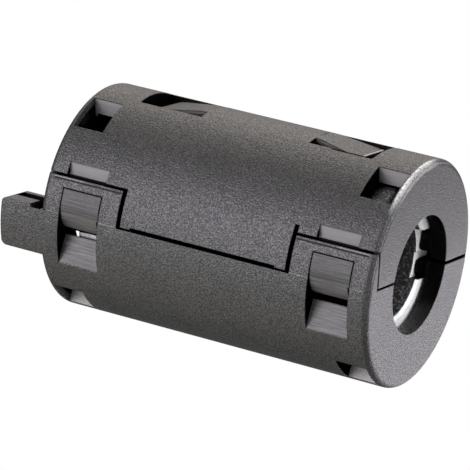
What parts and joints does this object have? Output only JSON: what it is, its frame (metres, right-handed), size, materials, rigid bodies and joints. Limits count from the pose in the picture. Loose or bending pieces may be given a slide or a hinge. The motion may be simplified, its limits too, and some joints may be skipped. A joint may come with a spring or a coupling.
{
  "type": "clip on ferrite bead",
  "caption": "Split ferrite sleeve in a hinged plastic case that snaps shut round a cable, with spring tongues, latch windows and a cable tie lug.",
  "frame": {"origin": "centre of the plain end face, on the cable's axis, with the bead standing on that end", "axes": "+Z along the cable towards the cable tie lug, +X towards the cover, +Y towards the hinge"},
  "size_m": [0.0205, 0.0206, 0.0364],
  "materials": {
    "case": "fine matt texture",
    "ferrite": "sintered, ground at the ends"
  },
  "bodies": {
    "base": {"base_shell": "case", "lug_end_latch_loop": "case", "plain_end_latch_loop": "case", "hinge_webs": "case", "base_core": "ferrite"},
    "cover": {"cover_shell": "case", "cover_core": "ferrite"}
  },
  "joints": [
    {"name": "cover_hinge", "type": "hinge", "parent": "base", "child": "cover", "pos_m": [0.0001, 0.01025, 0.01625], "axis": [0, 0, 1], "range_deg": [0, 170], "deforming": ["lug_end_latch_loop", "plain_end_latch_loop", "hinge_webs"]}
  ]
}
